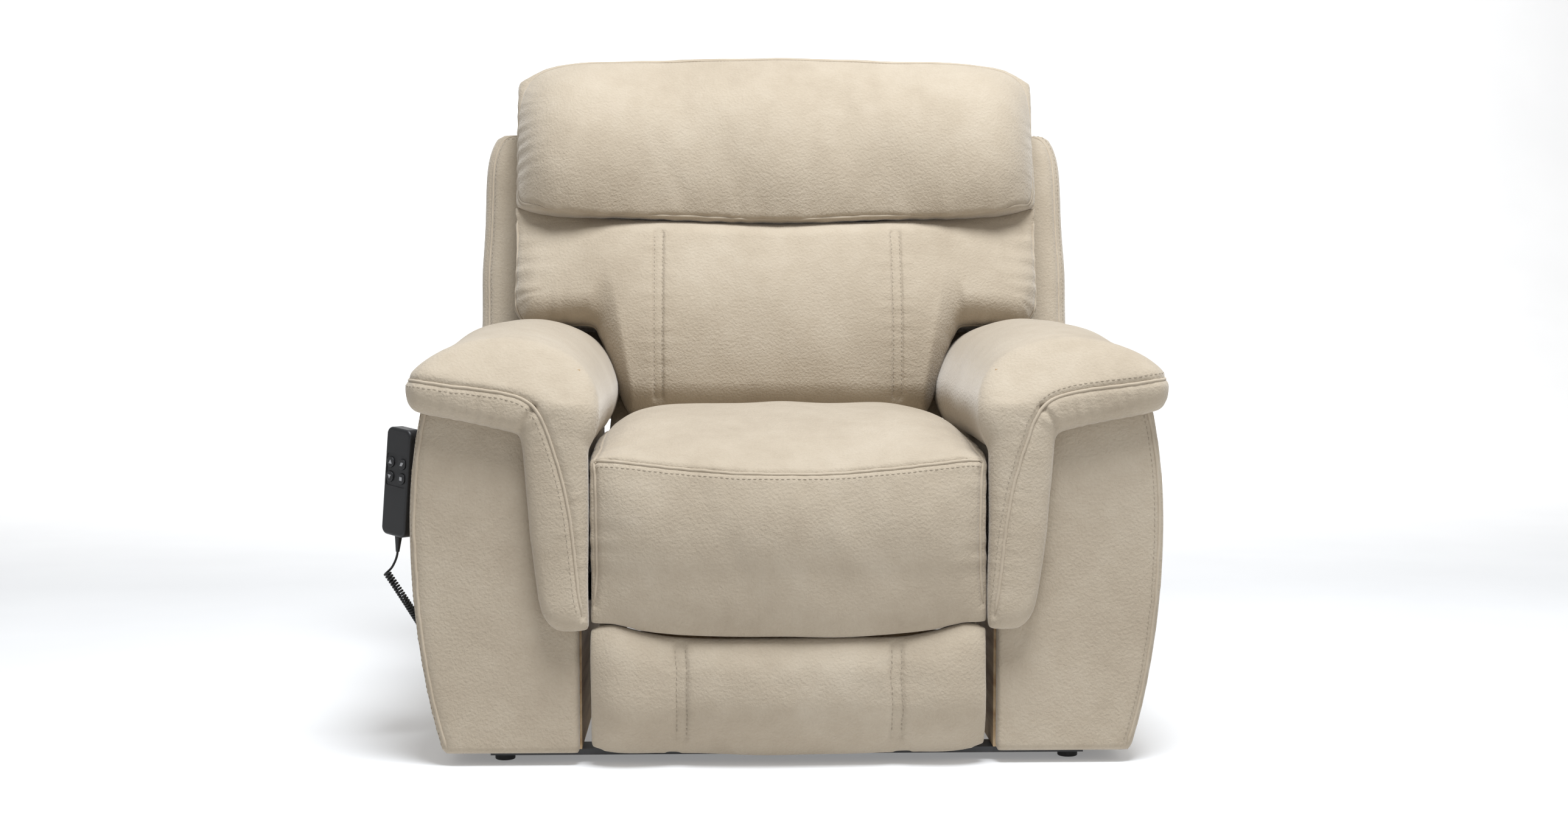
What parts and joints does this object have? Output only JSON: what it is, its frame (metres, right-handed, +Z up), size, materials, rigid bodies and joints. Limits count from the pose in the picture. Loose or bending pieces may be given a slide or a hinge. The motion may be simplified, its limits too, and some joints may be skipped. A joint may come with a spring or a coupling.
{
  "type": "lift chair",
  "caption": "Upholstered power lift chair: box arms with pillow pads, crowned seat, padded back, folding footrest and tilting lift base with corded handset.",
  "frame": {"origin": "on the floor, at the middle of the box round the chair and its handset; the chair's own middle plane is at X +32.5 mm", "axes": "+Z up, the chair faces -Y, +X to the sitter's left"},
  "size_m": [1.1024, 0.9388, 1.0339],
  "materials": {
    "upholstery": "napped beige microfibre",
    "frame_steel": "satin black powder coat",
    "bright_steel": "zinc plated",
    "timber": "bare plywood and pine",
    "handset_plastic": "fine matt black",
    "motor_plastic": "moulded dark grey",
    "webbing": "woven elastic",
    "feet": "matt black"
  },
  "bodies": {
    "base": {"base_feet": "feet", "base_cross_bars": "frame_steel", "base_side_rails": "frame_steel", "lift_motor": "motor_plastic", "lift_cradle": "frame_steel", "power_supply": "motor_plastic"},
    "lift_arms": {"lift_arms": "frame_steel", "lift_torque_tube": "frame_steel", "lift_lever": "frame_steel"},
    "guide_arms": {"guide_arms": "frame_steel"},
    "lift_rod": {"lift_rod": "bright_steel"},
    "chair": {"chair_cross_tubes": "frame_steel", "lift_hangers": "frame_steel", "chair_side_rails": "frame_steel", "seat_tracks": "frame_steel", "arm_bolts": "bright_steel", "recline_motor": "motor_plastic", "right_arm_frame": "timber", "right_arm_outer_panel": "upholstery", "right_arm_front_panel": "upholstery", "right_arm_pad": "upholstery", "right_arm_front_roll": "upholstery", "left_arm_frame": "timber", "left_arm_outer_panel": "upholstery", "left_arm_front_panel": "upholstery", "left_arm_pad": "upholstery", "left_arm_front_roll": "upholstery", "handset_hook": "handset_plastic", "cord_gland": "handset_plastic", "handset_cord": "handset_plastic"},
    "seat": {"seat_side_plates": "frame_steel", "seat_rails": "timber", "seat_drive_bar": "frame_steel", "recline_rod": "bright_steel", "seat_springs": "bright_steel", "seat_cushion": "upholstery", "seat_front_border": "upholstery"},
    "back": {"back_brackets": "frame_steel", "back_frame": "timber", "back_webbing": "webbing", "lumbar_cushion": "upholstery", "headrest_cushion": "upholstery", "right_back_wing": "upholstery", "left_back_wing": "upholstery", "back_top_border": "upholstery", "back_rear_panel": "upholstery"},
    "footrest_drive": {"footrest_drive_tube": "frame_steel", "footrest_main_links": "frame_steel"},
    "footrest_reach": {"footrest_reach_links": "frame_steel"},
    "footrest": {"footrest_brackets": "frame_steel", "footrest_board": "timber", "footrest_pad": "upholstery"},
    "handset": {"handset_front_shell": "handset_plastic", "handset_rear_shell": "handset_plastic", "handset_strain_relief": "handset_plastic"},
    "button_up": {"handset_button_up": "handset_plastic"},
    "button_recline": {"handset_button_recline": "handset_plastic"},
    "button_down": {"handset_button_down": "handset_plastic"},
    "button_close": {"handset_button_close": "handset_plastic"}
  },
  "joints": [
    {"name": "lift", "type": "hinge", "parent": "base", "child": "lift_arms", "pos_m": [0.03248, -0.24048, 0.09], "axis": [1, 0, 0], "range_deg": [0, 50]},
    {"name": "lift_tilt", "type": "hinge", "parent": "lift_arms", "child": "chair", "pos_m": [0.03248, 0.15733, 0.13181], "axis": [1, 0, 0], "range_deg": [-26.2, 0]},
    {"name": "guide_swing", "type": "hinge", "parent": "base", "child": "guide_arms", "pos_m": [0.03248, -0.28048, 0.09], "axis": [1, 0, 0], "range_deg": [0, 54.5]},
    {"name": "lift_push", "type": "slide", "parent": "base", "child": "lift_rod", "axis": [0, -1, 0], "range_m": [0, 0.0796]},
    {"name": "recline", "type": "hinge", "parent": "seat", "child": "back", "pos_m": [0.03248, 0.15952, 0.29], "axis": [-1, 0, 0], "range_deg": [0, 35]},
    {"name": "seat_glide", "type": "slide", "parent": "chair", "child": "seat", "axis": [0, -1, 0], "range_m": [0, 0.0502]},
    {"name": "footrest", "type": "hinge", "parent": "seat", "child": "footrest_drive", "pos_m": [0.03248, -0.33348, 0.2747], "axis": [-1, 0, 0], "range_deg": [0, 129.3]},
    {"name": "footrest_reach", "type": "hinge", "parent": "footrest_drive", "child": "footrest_reach", "pos_m": [0.03248, -0.15678, 0.1493], "axis": [-1, 0, 0], "range_deg": [-69.2, 0]},
    {"name": "footrest_swing", "type": "hinge", "parent": "footrest_reach", "child": "footrest", "pos_m": [0.03248, -0.37928, 0.0712], "axis": [-1, 0, 0], "range_deg": [0, 13.2]},
    {"name": "handset_unhook", "type": "slide", "parent": "chair", "child": "handset", "axis": [0.0803, -0.0723, 0.9942], "range_m": [0, 0.06], "deforming": ["handset_cord"]},
    {"name": "press_up", "type": "slide", "parent": "handset", "child": "button_up", "axis": [0.6691, 0.7431, 0], "range_m": [0, 0.0012], "stiffness_N_per_m": 700, "springref_m": -0.0006},
    {"name": "press_recline", "type": "slide", "parent": "handset", "child": "button_recline", "axis": [0.6691, 0.7431, 0], "range_m": [0, 0.0012], "stiffness_N_per_m": 700, "springref_m": -0.0006},
    {"name": "press_down", "type": "slide", "parent": "handset", "child": "button_down", "axis": [0.6691, 0.7431, 0], "range_m": [0, 0.0012], "stiffness_N_per_m": 700, "springref_m": -0.0006},
    {"name": "press_close", "type": "slide", "parent": "handset", "child": "button_close", "axis": [0.6691, 0.7431, 0], "range_m": [0, 0.0012], "stiffness_N_per_m": 700, "springref_m": -0.0006}
  ],
  "couplings": [
    {"joint": "lift_tilt", "follows": "lift", "ratio": -0.52},
    {"joint": "guide_swing", "follows": "lift", "ratio": 1.072},
    {"joint": "lift_push", "follows": "lift", "m_per_rad": 0.090839},
    {"joint": "seat_glide", "follows": "recline", "m_per_rad": 0.081851},
    {"joint": "footrest_reach", "follows": "footrest", "ratio": -0.53364},
    {"joint": "footrest_swing", "follows": "footrest", "ratio": 0.10139}
  ]
}
